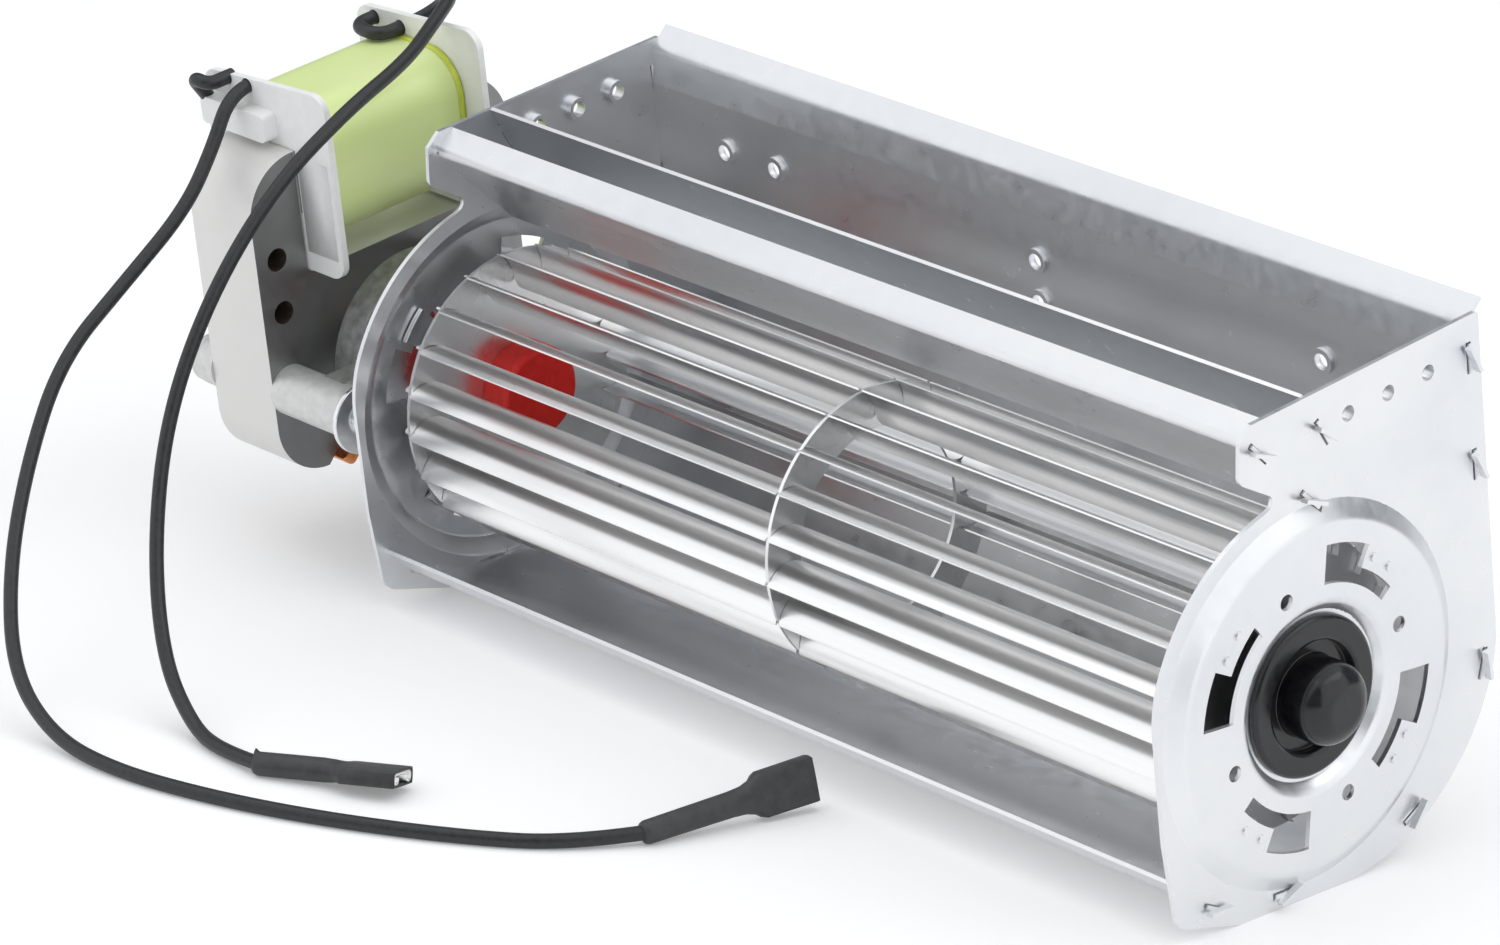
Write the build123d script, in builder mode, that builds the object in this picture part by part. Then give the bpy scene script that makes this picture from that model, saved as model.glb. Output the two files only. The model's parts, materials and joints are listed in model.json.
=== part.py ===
from build123d import *
from math import atan2, cos, degrees, pi, radians, sin, tan
import os

os.makedirs("parts", exist_ok=True)

# A cross flow fan with a shaded-pole motor, in millimetres.
# X runs along the wheel's axis, from the motor to the bearing end, and Z is up.
# Across the axis, sizes are y (towards the back) and z (up) from the axis, with the top
# edge of the end plates level. The fan rests on a facet under its end plates, which
# leans the whole of it back by rest_tilt. Along the axis, x is counted from the outer
# face of the bearing end plate.

# Sheet metal of the housing
rest_tilt = 7.0
plate_thickness = 1.0
sheet_thickness = 0.8

# Edge of an end plate
plate_top = 59.6
plate_back = 51.2
plate_back_corner = 1.0
heel_start = -6.0
heel_radius = 25.8
heel_turn = 21.0
sole_radius = 43.3
facet_length = 25.8
toe = (-37.9, -33.5)
toe_radius = 4.5
front_edge_inset = 1.75
front_edge_bottom = -15.0
front_arc_radius = 41.35
front_arc_low = 152.0
front_arc_high = 101.0
notch_y = -3.6
notch_over_arc = 0.65
notch_radius = 1.6
lip_corner_y = -13.7
lip_corner_over_arc = 7.55
lip_radius = 2.0
lip_top = (-12.9, 57.0)
top_edge_start = -9.6

# Pressed boss of an end plate
boss_radius = 38.0
boss_rim = 1.2
boss_run = 3.6
boss_height = 2.5
dish_radius = 19.4
dish_run = 2.0
dish_depth = 2.2
press_radius = 1.4
mount_hole_radius = 12.5

# Openings of an end plate
slot_count = 4
slot_start = 35.3
slot_step = 22.5
slot_inner = 22.5
slot_middle = 25.7
slot_outer = 30.3
boss_hole_circle = 23.45
boss_hole_radius = 1.6
boss_hole_angle = 105.5
mark_circle = 28.3
mark_radius = 0.9
mark_height = 0.4
mark_angle = 47.5
mark_spread = 5.2
screw_hole_radius = 1.6
screw_collar_radius = 2.4
screw_collar_height = 1.5
screw_hole_y = 26.2
screw_hole_z = 52.2
screw_hole_pitch = 10.8

# Scroll
scroll_inset = 2.7
scroll_front_line = -17.5
scroll_lip = (-36.1, -25.8)
scroll_crease = 50.0
scroll_crease_y = 49.4
scroll_flare = 57.6
scroll_top = (53.4, 61.0)
scroll_bends = [6.0, 2.4]
scroll_tab_low = 28.9
scroll_tab_high = 51.0
scroll_tab_heel = -18.0
scroll_tab_sole = -65.2
scroll_tab_facet = 8.0
scroll_tab_front = 0.5
wall_hole_radius = 1.7
wall_collar_radius = 2.7
wall_collar_height = 0.9
wall_hole_row = 40.0
wall_hole_drop = 9.0
wall_holes_motor_end = [21.7, 36.9]
wall_hole_off_middle = 1.25
wall_hole_bearing_end = 38.0

# Tongue
tongue_line = [(-5.6, 58.7), (-10.2, 55.4), (7.9, 34.4), (11.6, 36.4), (11.8, 44.6), (4.1, 59.6)]
tongue_bends = [0.9, 1.9, 1.9, 7.0]

# Tabs that hold the scroll and the tongue in the end plates
tab_length = 6.0
tab_neck = 0.6
tab_reach = 1.6
tab_twist = 24.0
tab_clearance = 0.25
tongue_tabs = [(-8.35, 53.25, -49.2), (3.95, 38.95, -49.2), (8.4, 51.2, 117.0)]

# Wheel
wheel_radius = 30.0
ring_radius = 29.7
ring_bore = 21.0
ring_thickness = 0.8
bay_length = 108.9
wheel_left = 3.9
wheel_right = 8.4
blade_count = 20
blade_phase = 2.5
blade_thickness = 0.45
blade_chord = 8.2
blade_lean = 17.0
blade_bow = 1.25
blade_corner = 2.6
blade_tab_width = 3.0
blade_tab_reach = 2.4
blade_tab_inset = 0.5
end_disc_bore = 8.4
slot_gap = 0.1

# Bearing end
rubber_radius = 16.1
rubber_face = 1.6
rubber_grip_radius = 15.0
rubber_grip = 1.7
rubber_body_radius = 8.6
rubber_body_length = 4.6
rubber_groove_radius = 11.0
rubber_groove_depth = 2.2
rubber_clearance = 0.05
dome_radius = 8.2
dome_reach = 10.0
dome_rounding = 4.6
bush_radius = 5.0
bush_length = 6.6
stub_radius = 2.5
stub_past_bush = 1.2
stub_end_room = 1.0
stub_hub_radius = 7.0
stub_hub_length = 5.0
stub_collar_radius = 4.0
collar_gap = 0.2
running_clearance = 0.05

# Shaft and its soft hub at the motor's end of the wheel
shaft_radius = 3.0
hub_radius = 10.0
hub_length = 7.0
hub_back_radius = 9.6
hub_back_length = 3.0
hub_rounding = 1.5
hub_floor = 1.5

# Stator
motor_distance = 33.9
stack_thickness = 20.0
stack_half_width = 35.0
stack_bottom = -20.6
stack_top = 51.0
arm_width = 13.0
yoke_top = 23.5
stack_corner = 12.5
window_corner = 1.5
stator_bore = 16.3
core_height = 14.0
core_clearance = 0.05
screw_spacing = 60.6
screw_clearance = 0.3
stack_hole_radius = 2.5
stack_hole_y = 29.5
stack_holes_z = [17.2, 29.2]
bridge_width = 1.6
bridge_depth = 2.6

# Shading rings
shade_angle = 45.0
shade_inner = 18.0
shade_outer = 27.2
shade_bar = 3.0
shade_proud = 3.4
shade_corner = 1.3
shade_clearance = 0.15
shade_slot_end = 32.0

# Rotor
rotor_gap = 0.4
rotor_ring_inset = 1.5
rotor_ring_thickness = 1.4
washer_radius = 5.0
washer_thickness = 0.8
washer_gap = 0.15

# Coil and bobbin
flange_face = 21.5
flange_thickness = 1.5
flange_front = 21.8
flange_rear = 18.0
flange_bottom = 24.2
flange_high = 65.6
flange_low = 63.0
flange_corner = 4.0
bobbin_wall = 1.2
coil_half_width = 14.6
coil_half_height = 14.5
coil_corner = 8.4
tape_thickness = 0.6
coil_clearance = 0.1
block_front = 5.2
block_rear = 15.4
block_depth = 3.6
block_height = 6.0
block_lift = 1.5
block_rounding = 1.2

# Motor brackets
post_radius = 5.4
front_post_length = 22.8
rear_post_length = 7.0
rear_post_rounding = 2.5
front_bar_start = 10.0
front_bar_thickness = 6.5
rear_bar_thickness = 4.6
bar_half_height = 5.2
bracket_hub_radius = 9.0
front_hub_start = 7.5
front_hub_length = 12.0
rear_hub_length = 12.5
shield_radius = 21.5
shield_wall = 2.0
shield_start = 4.0
shield_length = 7.0
bearing_radius = 5.6
bearing_length = 7.0
bearing_seat = 2.5
bearing_rounding = 2.0
shaft_rear_gap = 1.4
part_fit = 0.05

# Mounting plate between the motor and the housing
mounting_thickness = 1.2
mounting_radius = 26.0
mounting_bore = 17.0
ear_radius = 7.6
hook_inner = 23.5
hook_outer = 29.6
hook_leg = 1.2
hook_start = 39.0
hook_turn = 15.0
hook_gap = 0.3

# Motor screws
screw_radius = 1.9
screw_head_radius = 3.6
screw_head_height = 2.4
screw_end_gap = 2.0

# Supply leads, from the holes of the coil's bobbin to a terminal each. The holes are
# (distance towards the housing from the stack's middle, z), the routes run from the
# bobbin's side on, first in the fan's own x, y and z and then over the floor.
lead_radius = 1.5
lead_hole_clearance = 0.15
lead_bend_share = 0.45
front_lead_hole = (-3.4, 62.3)
front_lacing_hole = (-10.0, 62.6)
rear_lead_hole = (-3.5, 60.9)
rear_lacing_hole = (-12.0, 61.2)
rear_lacing_reach = 5.7
front_lacing_reach = 6.3
front_lacing_route = [(-288.4, -27.0, 63.4), (-288.8, -23.2, 57.5)]
front_lead_reach = 6.0
front_lead_bend = [(-275.2, -34.0, 53.0)]
front_lead_route = [
    (-127.9, -55.7, 80.2),
    (-127.4, -71.9, 68.7),
    (-126.2, -90.0, 56.5),
    (-118.4, -105.2, 39.9),
    (-107.2, -119.0, 23.8),
    (-91.7, -130.4, 9.6),
    (-73.8, -134.4, 2.3),
    (-53.8, -134.6, 1.5),
    (-30.5, -128.9, 1.5),
    (-6.8, -119.2, 1.5),
    (17.5, -105.3, 1.5),
    (33.5, -92.2, 1.5),
    (41.0, -79.3, 2.4),
]
rear_lead_reach = 6.8
rear_lead_bend = [(-267.0, 27.5, 69.0)]
rear_lead_route = [
    (-114.9, -0.1, 110.4),
    (-105.9, -14.3, 108.3),
    (-99.9, -34.9, 103.9),
    (-98.2, -55.8, 92.5),
    (-97.3, -73.7, 73.8),
    (-94.7, -87.5, 52.0),
    (-87.0, -97.7, 29.4),
    (-74.2, -106.2, 11.1),
    (-59.4, -110.8, 2.4),
    (-47.5, -113.2, 1.5),
    (-35.5, -113.0, 2.4),
]

# Shrink sleeves and terminals of the leads. A way is (compass angle, rise, roll).
sleeve_radius = 2.3
front_sleeve_taper = 24.0
front_sleeve_way = (75.5, 6.4, 80.0)
rear_sleeve_taper = 18.5
rear_sleeve_way = (27.0, 3.0, -14.0)
shell_length = 12.4
shell_width = 9.4
shell_height = 3.5
shell_rounding = 0.9
shell_wall = 0.35
terminal_length = 9.0
terminal_wall = 0.4
terminal_gap = 1.8
terminal_clearance = 0.05


def direction(angle):
    """Unit vector at an angle in degrees, in a section across the axis."""
    return Vector(cos(radians(angle)), sin(radians(angle)))


def nearest(shape, point):
    """The corner of a flat shape that lies nearest to a point."""
    return shape.vertices().sort_by_distance(Vector(*point))[0]


# Edge of an end plate. The heel and the sole are two arcs that run on into the facet.
heel_centre = Vector(plate_back - heel_radius, heel_start)
sole_centre = heel_centre - direction(-heel_turn) * (sole_radius - heel_radius)
facet_normal = direction(-90 - rest_tilt)
facet_back = sole_centre + facet_normal * sole_radius
facet_front = facet_back + direction(180 - rest_tilt) * facet_length
front_edge = front_edge_inset - front_arc_radius
notch_root = (notch_y, front_arc_radius + notch_over_arc)
lip_corner = (lip_corner_y, front_arc_radius + lip_corner_over_arc)
ease_top = direction(front_arc_low) * front_arc_radius
ease_drop = (ease_top.X - front_edge) / tan(radians((180 - front_arc_low) / 2))

with BuildSketch() as plate_edge:
    with BuildLine():
        Line((top_edge_start, plate_top), (plate_back, plate_top))
        Line((plate_back, plate_top), (plate_back, heel_start))
        CenterArc(heel_centre, heel_radius, 0, -heel_turn)
        CenterArc(sole_centre, sole_radius, -heel_turn, heel_turn - 90 - rest_tilt)
        Polyline(facet_back, facet_front, toe, (front_edge, front_edge_bottom),
                 (front_edge, ease_top.Y - ease_drop))
        TangentArc((front_edge, ease_top.Y - ease_drop), ease_top, tangent=(0, 1))
        CenterArc((0, 0), front_arc_radius, front_arc_low, front_arc_high - front_arc_low)
        Polyline(direction(front_arc_high) * front_arc_radius, notch_root, lip_corner,
                 lip_top, (top_edge_start, plate_top))
    make_face()
    fillet(nearest(plate_edge, toe), toe_radius)
    fillet(nearest(plate_edge, notch_root), notch_radius)
    fillet(nearest(plate_edge, lip_corner), lip_radius)
    fillet(nearest(plate_edge, (plate_back, plate_top)), plate_back_corner)

# The leaning edge says how high the axis is above the floor and where the fan's middle is.
leaning_edge = plate_edge.sketch.rotate(Axis.Z, rest_tilt).bounding_box()
axis_height = -leaning_edge.min.Y
axis_y = -(leaning_edge.min.X + leaning_edge.max.X) / 2

housing_length = wheel_left + 2 * bay_length + wheel_right
motor_plate_face = -housing_length
stack_front = motor_plate_face - motor_distance
stack_rear = stack_front - stack_thickness
rear_hub_end = stack_rear - rear_post_length + rear_bar_thickness - rear_hub_length
axis_x = -(dome_reach + rear_hub_end) / 2


def section(x):
    """Plane across the axis: its x is y (to the back), its y is z (up), its normal is +X."""
    return Plane(
        origin=(axis_x + x, axis_y, axis_height),
        x_dir=(0, cos(radians(rest_tilt)), sin(radians(rest_tilt))),
        z_dir=(1, 0, 0),
    )


def meridian(x):
    """Plane through the axis for turned shapes: its x is the radius, its y runs along +X."""
    return Plane(origin=(axis_x + x, axis_y, axis_height), x_dir=(0, 1, 0), z_dir=(0, 0, -1))


wheel_axis = Axis((0, axis_y, axis_height), (1, 0, 0))


def turned(points):
    """Flat half section of a turned piece, from (radius, x) corners."""
    with BuildSketch() as half:
        with BuildLine():
            Polyline(*points, close=True)
        make_face()
    return half.sketch


def sector(inner, outer, start, turn):
    """Part of a flat ring between two radii, from an angle on through a turn."""
    with BuildSketch() as part_ring:
        with BuildLine():
            CenterArc((0, 0), outer, start, turn)
            CenterArc((0, 0), inner, start, turn)
            Line(direction(start) * inner, direction(start) * outer)
            Line(direction(start + turn) * inner, direction(start + turn) * outer)
        make_face()
    return part_ring.sketch


def tab_slot(spot):
    """Slot in an end plate for a tab at (y, z, angle)."""
    with BuildSketch() as slot:
        with Locations(Location((spot[0], spot[1], 0), (0, 0, spot[2]))):
            Rectangle(tab_length + 2 * tab_clearance, sheet_thickness + 2 * tab_clearance)
    return slot.sketch


def tab_face(spot, twist=0.0):
    """Cross section of a tab at (y, z, angle), turned by a twist."""
    with BuildSketch() as face:
        with Locations(Location((spot[0], spot[1], 0), (0, 0, spot[2] + twist))):
            Rectangle(tab_length, sheet_thickness)
    return face.sketch


# Line of the scroll, inside the end plates' edge, and the places of its tabs
half_sheet = sheet_thickness / 2
scroll_heel = heel_radius - scroll_inset
scroll_sole = sole_radius - scroll_inset
scroll_back = plate_back - scroll_inset
scroll_facet_back = sole_centre + facet_normal * scroll_sole
scroll_facet_run = (scroll_facet_back.X - scroll_front_line) / cos(radians(rest_tilt))
scroll_facet_front = scroll_facet_back + direction(180 - rest_tilt) * scroll_facet_run

with BuildSketch() as scroll_section:
    with BuildLine():
        lip_arc = TangentArc(scroll_facet_front, scroll_lip, tangent=direction(180 - rest_tilt))
        Line(scroll_facet_back, scroll_facet_front)
        CenterArc(sole_centre, scroll_sole, -heel_turn, heel_turn - 90 - rest_tilt)
        CenterArc(heel_centre, scroll_heel, 0, -heel_turn)
        FilletPolyline((scroll_back, heel_start), (scroll_back, scroll_crease),
                       (scroll_crease_y, scroll_flare), scroll_top, radius=scroll_bends)
        offset(amount=sheet_thickness, side=Side.RIGHT)
    make_face()

heel_tab = heel_centre + direction(scroll_tab_heel) * (scroll_heel - half_sheet)
sole_tab = sole_centre + direction(scroll_tab_sole) * (scroll_sole - half_sheet)
facet_tab = scroll_facet_front - facet_normal * half_sheet
facet_tab = facet_tab - direction(180 - rest_tilt) * scroll_tab_facet
lip_heading = lip_arc % scroll_tab_front
lip_tab = lip_arc @ scroll_tab_front + Vector(lip_heading.Y, -lip_heading.X) * half_sheet
scroll_tabs = [
    (scroll_back - half_sheet, scroll_tab_high, 90),
    (scroll_back - half_sheet, scroll_tab_low, 90),
    (heel_tab.X, heel_tab.Y, scroll_tab_heel + 90),
    (sole_tab.X, sole_tab.Y, scroll_tab_sole + 90),
    (facet_tab.X, facet_tab.Y, -rest_tilt),
    (lip_tab.X, lip_tab.Y, degrees(atan2(lip_heading.Y, lip_heading.X))),
]

with BuildSketch() as tongue_section:
    with BuildLine():
        FilletPolyline(*tongue_line, radius=tongue_bends)
        offset(amount=sheet_thickness, side=Side.RIGHT)
    make_face()


def folded_sheet(sheet_section, tabs):
    """A sheet between the end plates, with twisted tabs that go through both of them."""
    inner_length = housing_length - plate_thickness
    ends = [(motor_plate_face, -1), (-plate_thickness, 1)]
    with BuildPart() as sheet:
        with BuildSketch(section(motor_plate_face)):
            add(sheet_section)
        extrude(amount=inner_length)
        for end, side in ends:
            with BuildSketch(section(end)):
                for spot in tabs:
                    add(tab_face(spot))
            extrude(amount=side * (plate_thickness + tab_neck))
            with BuildSketch(section(end + side * (plate_thickness + tab_neck))):
                for spot in tabs:
                    add(tab_face(spot, tab_twist))
            extrude(amount=side * tab_reach)
    return sheet.part


# End plates
dish_inner = boss_height - dish_depth - plate_thickness
dish_outer = boss_height - dish_depth

with BuildSketch() as boss_profile:
    with BuildLine():
        FilletPolyline(
            (boss_radius + boss_rim, 0),
            (boss_radius, 0),
            (boss_radius - boss_run, boss_height),
            (dish_radius, boss_height),
            (dish_radius - dish_run, boss_height - dish_depth),
            (mount_hole_radius, boss_height - dish_depth),
            radius=press_radius,
        )
        offset(amount=plate_thickness, side=Side.RIGHT)
    make_face()

with BuildPart() as bearing_end_plate:
    with BuildSketch(section(-plate_thickness)):
        add(plate_edge)
        Circle(boss_radius, mode=Mode.SUBTRACT)
    extrude(amount=plate_thickness)
    with BuildSketch(meridian(-plate_thickness)):
        add(boss_profile)
    revolve(axis=wheel_axis)
    with BuildSketch(section(boss_height)):
        for turn in range(slot_count):
            for low in (mark_angle - mark_spread, mark_angle + mark_spread):
                with Locations(direction(low + 360 * turn / slot_count) * mark_circle):
                    Circle(mark_radius)
    extrude(amount=mark_height)
    with BuildSketch(section(-plate_thickness)):
        with Locations((screw_hole_y, screw_hole_z)):
            with GridLocations(screw_hole_pitch, 1, 3, 1):
                Circle(screw_collar_radius)
    extrude(amount=-screw_collar_height)
    with BuildSketch(section(-plate_thickness)):
        for turn in range(slot_count):
            start = slot_start + 360 * turn / slot_count
            add(sector(slot_inner, slot_middle, start, 2 * slot_step))
            add(sector(slot_inner, slot_outer, start + slot_step, slot_step))
        with PolarLocations(boss_hole_circle, slot_count, start_angle=boss_hole_angle):
            Circle(boss_hole_radius)
        with Locations((screw_hole_y, screw_hole_z)):
            with GridLocations(screw_hole_pitch, 1, 3, 1):
                Circle(screw_hole_radius)
        for spot in scroll_tabs + tongue_tabs:
            add(tab_slot(spot))
    extrude(amount=boss_height + plate_thickness, both=True, mode=Mode.SUBTRACT)

with BuildPart() as motor_end_plate:
    mirror(bearing_end_plate.part, about=section(-(housing_length + plate_thickness) / 2))

# Scroll and tongue
with BuildPart() as scroll:
    add(folded_sheet(scroll_section, scroll_tabs))
    back_wall = Plane(
        origin=section(0).from_local_coords((scroll_back - sheet_thickness, wall_hole_row, 0)),
        x_dir=(1, 0, 0),
        z_dir=section(0).from_local_coords((-1, 0, 0)) - section(0).origin,
    )
    middle_hole = motor_plate_face / 2 - wall_hole_off_middle
    hole_spots = [(motor_plate_face + x, 0) for x in wall_holes_motor_end]
    hole_spots += [(middle_hole, 0), (middle_hole, -wall_hole_drop), (-wall_hole_bearing_end, 0)]
    with BuildSketch(back_wall):
        with Locations(*hole_spots):
            Circle(wall_collar_radius)
    extrude(amount=wall_collar_height)
    with BuildSketch(back_wall):
        with Locations(*hole_spots):
            Circle(wall_hole_radius)
    extrude(amount=2 * sheet_thickness, both=True, mode=Mode.SUBTRACT)

with BuildPart() as tongue:
    add(folded_sheet(tongue_section, tongue_tabs))

# Wheel: two bays of curved blades between three rings
left_disc = motor_plate_face + wheel_left
mid_disc = left_disc + bay_length
right_disc = mid_disc + bay_length
half_ring = ring_thickness / 2
blade_length = bay_length - ring_thickness
blade_outer = Vector(wheel_radius, 0)
blade_inner = blade_outer + direction(180 + blade_lean) * blade_chord
blade_middle = (blade_outer + blade_inner) * 0.5 + direction(blade_lean - 90) * blade_bow

with BuildSketch() as blade_face:
    with BuildLine():
        ThreePointArc(blade_inner, blade_middle, blade_outer)
        offset(amount=blade_thickness, side=Side.RIGHT)
    make_face()
tab_top = ring_radius - blade_tab_inset
with BuildSketch() as blade_tab:
    add(blade_face)
    add(sector(tab_top - blade_tab_width, tab_top, -30, 60), mode=Mode.INTERSECT)
with BuildSketch() as blade_slot:
    add(blade_tab)
    offset(amount=slot_gap)


def wheel_ring(x, bore):
    """A ring of the wheel, centred on x, with slots for the blades' tabs."""
    with BuildPart() as ring:
        with BuildSketch(section(x - half_ring)):
            Circle(ring_radius)
            Circle(bore, mode=Mode.SUBTRACT)
            with PolarLocations(0, blade_count, start_angle=blade_phase):
                add(blade_slot, mode=Mode.SUBTRACT)
        extrude(amount=ring_thickness)
    return ring.part


def bay(start, left_reach, right_reach):
    """Blades of one bay from x = start, with tabs that reach into the rings."""
    with BuildPart() as blade:
        with BuildSketch():
            add(blade_face)
        extrude(amount=blade_length)
        ends = blade.edges().filter_by(lambda edge: edge.length < 2 * blade_thickness)
        inner_ends = ends.sort_by_distance(Vector(0, 0, blade_length / 2))[:2]
        fillet(inner_ends, blade_corner)
        with BuildSketch():
            add(blade_tab)
        extrude(amount=-left_reach)
        with BuildSketch(Plane.XY.offset(blade_length)):
            add(blade_tab)
        extrude(amount=right_reach)
    with BuildPart(section(start)) as blades:
        with PolarLocations(0, blade_count, start_angle=blade_phase):
            add(blade.part)
    return blades.part


with BuildPart() as wheel_disc_motor_side:
    add(wheel_ring(left_disc, end_disc_bore))

with BuildPart() as wheel_middle_ring:
    add(wheel_ring(mid_disc, ring_bore))

with BuildPart() as wheel_disc_bearing_side:
    add(wheel_ring(right_disc, stub_collar_radius + part_fit))

with BuildPart() as blades_motor_side:
    add(bay(left_disc + half_ring, blade_tab_reach, half_ring - slot_gap))

with BuildPart() as blades_bearing_side:
    add(bay(mid_disc + half_ring, half_ring - slot_gap, blade_tab_reach))

# Bearing end: rubber mount in the plate's hole, sleeve bearing, and the wheel's stub
neck_radius = mount_hole_radius - rubber_clearance
rubber_front = dish_outer + rubber_clearance
rubber_back = dish_inner - rubber_clearance
body_end = dish_inner - rubber_body_length
bush_end = body_end + bush_length
stub_end = bush_end + stub_past_bush
groove_floor = rubber_front + rubber_face - rubber_groove_depth

with BuildPart() as rubber_mount:
    with BuildSketch(meridian(0)):
        add(turned([
            (0, dome_reach),
            (dome_radius, dome_reach),
            (dome_radius, groove_floor),
            (rubber_groove_radius, groove_floor),
            (rubber_groove_radius, rubber_front + rubber_face),
            (rubber_radius, rubber_front + rubber_face),
            (rubber_radius, rubber_front),
            (neck_radius, rubber_front),
            (neck_radius, rubber_back),
            (rubber_grip_radius, rubber_back),
            (rubber_grip_radius, rubber_back - rubber_grip),
            (rubber_body_radius, rubber_back - rubber_grip),
            (rubber_body_radius, body_end),
            (bush_radius + part_fit, body_end),
            (bush_radius + part_fit, bush_end + part_fit),
            (stub_radius + stub_end_room, bush_end + part_fit),
            (stub_radius + stub_end_room, stub_end + stub_end_room),
            (0, stub_end + stub_end_room),
        ]))
    revolve(axis=wheel_axis)
    rims = rubber_mount.edges().filter_by(GeomType.CIRCLE).sort_by(Axis.X)
    fillet(rims[-1], dome_rounding)
    face_rims = rims.filter_by(lambda rim: rim.radius > rubber_groove_radius - 0.1)
    fillet(face_rims[-2:], rubber_groove_depth / 2)

with BuildPart() as bearing_bush:
    with BuildSketch(section(body_end)):
        Circle(bush_radius)
        Circle(stub_radius + running_clearance, mode=Mode.SUBTRACT)
    extrude(amount=bush_length)

stub_start = right_disc - half_ring - stub_hub_length
with BuildPart() as stub_shaft:
    with BuildSketch(section(stub_start)):
        Circle(stub_hub_radius)
    extrude(amount=stub_hub_length)
    with BuildSketch(section(stub_start)):
        Circle(stub_collar_radius)
    extrude(amount=body_end - collar_gap - stub_start)
    with BuildSketch(section(stub_start)):
        Circle(stub_radius)
    extrude(amount=stub_end - stub_start)

# Soft hub that drives the wheel from the motor's shaft
hub_end = left_disc + half_ring + hub_length
hub_start = left_disc - half_ring - hub_back_length
shaft_end = hub_end - hub_floor
with BuildPart() as shaft_hub:
    with BuildSketch(meridian(0)):
        add(turned([
            (0, hub_end),
            (hub_radius, hub_end),
            (hub_radius, left_disc + half_ring),
            (end_disc_bore - part_fit, left_disc + half_ring),
            (end_disc_bore - part_fit, left_disc - half_ring),
            (hub_back_radius, left_disc - half_ring),
            (hub_back_radius, hub_start),
            (shaft_radius + part_fit, hub_start),
            (shaft_radius + part_fit, shaft_end + part_fit),
            (0, shaft_end + part_fit),
        ]))
    revolve(axis=wheel_axis)
    fillet(shaft_hub.edges().filter_by(GeomType.CIRCLE).sort_by(Axis.X)[-1], hub_rounding)

# Stator: a stack of U sheets, closed at the top by the core that the coil is on
core_bottom = stack_top - core_height
core_middle = stack_top - core_height / 2
window_half = stack_half_width - arm_width
stack_height = stack_top - stack_bottom
screw_spots = [(-screw_spacing / 2, 0), (screw_spacing / 2, 0)]

with BuildPart() as stator_frame:
    with BuildSketch(section(stack_front)):
        with Locations((0, stack_bottom + stack_height / 2)):
            RectangleRounded(2 * stack_half_width, stack_height, stack_corner)
        with BuildSketch(mode=Mode.PRIVATE) as window:
            with Locations((0, yoke_top + stack_height / 2)):
                RectangleRounded(2 * window_half, stack_height, window_corner)
        add(window, mode=Mode.SUBTRACT)
        Circle(stator_bore, mode=Mode.SUBTRACT)
        Rectangle(bridge_width, 2 * (stator_bore + bridge_depth), mode=Mode.SUBTRACT)
        with Locations(*screw_spots):
            Circle(screw_radius + screw_clearance, mode=Mode.SUBTRACT)
        for y in (-stack_hole_y, stack_hole_y):
            for z in stack_holes_z:
                with Locations((y, z)):
                    Circle(stack_hole_radius, mode=Mode.SUBTRACT)
        slot_width = shade_bar + 2 * shade_clearance
        for turn in (shade_angle, shade_angle + 180):
            leg_end = shade_inner + slot_width / 2
            leg_start = shade_outer - slot_width / 2
            for near, far in [(0, leg_end), (leg_start, shade_slot_end)]:
                spot = direction(turn) * ((near + far) / 2)
                with Locations(Location((spot.X, spot.Y, 0), (0, 0, turn))):
                    Rectangle(far - near, slot_width, mode=Mode.SUBTRACT)
    extrude(amount=-stack_thickness)

with BuildPart() as stator_core:
    with BuildSketch(section(stack_front)):
        with Locations((0, core_middle)):
            Rectangle(2 * (window_half - core_clearance), core_height)
    extrude(amount=-stack_thickness)

with BuildPart() as shading_rings:
    for turn in (shade_angle, shade_angle + 180):
        across = section(0).x_dir * cos(radians(turn)) + section(0).y_dir * sin(radians(turn))
        middle = section(stack_front - stack_thickness / 2).origin
        ring_plane = Plane(
            origin=middle + across * ((shade_inner + shade_outer) / 2),
            x_dir=across,
            z_dir=across.cross(Vector(1, 0, 0)),
        )
        reach = shade_outer - shade_inner
        span = stack_thickness + 2 * shade_proud
        with BuildSketch(ring_plane):
            RectangleRounded(reach + shade_bar, span, shade_corner)
            Rectangle(reach - shade_bar, span - 2 * shade_bar, mode=Mode.SUBTRACT)
        extrude(amount=shade_bar / 2, both=True)

# Coil on its bobbin
with BuildSketch() as core_tube:
    RectangleRounded(stack_thickness + 2 * (coil_clearance + bobbin_wall),
                     core_height + 2 * (coil_clearance + bobbin_wall), bobbin_wall)
with BuildSketch() as core_hole:
    Rectangle(stack_thickness + 2 * coil_clearance, core_height + 2 * coil_clearance)
with BuildSketch() as flange_plate:
    with BuildLine():
        FilletPolyline(
            (-flange_rear, flange_bottom - core_middle),
            (flange_front, flange_bottom - core_middle),
            (flange_front, flange_high - core_middle),
            (-flange_rear, flange_low - core_middle),
            radius=flange_corner,
            close=True,
        )
    make_face()
with BuildSketch() as coil_outside:
    RectangleRounded(2 * coil_half_width, 2 * coil_half_height, coil_corner)
with BuildSketch() as tape_outside:
    RectangleRounded(2 * (coil_half_width + tape_thickness),
                     2 * (coil_half_height + tape_thickness), coil_corner + tape_thickness)

along = section(0).x_dir * -1


def coil_plane(y):
    """Plane across the coil at y: x runs along +X from the stack's middle, y is up."""
    spot = (y, core_middle, 0)
    middle = section(stack_front - stack_thickness / 2).from_local_coords(spot)
    return Plane(origin=middle, x_dir=(1, 0, 0), z_dir=along)


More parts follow.
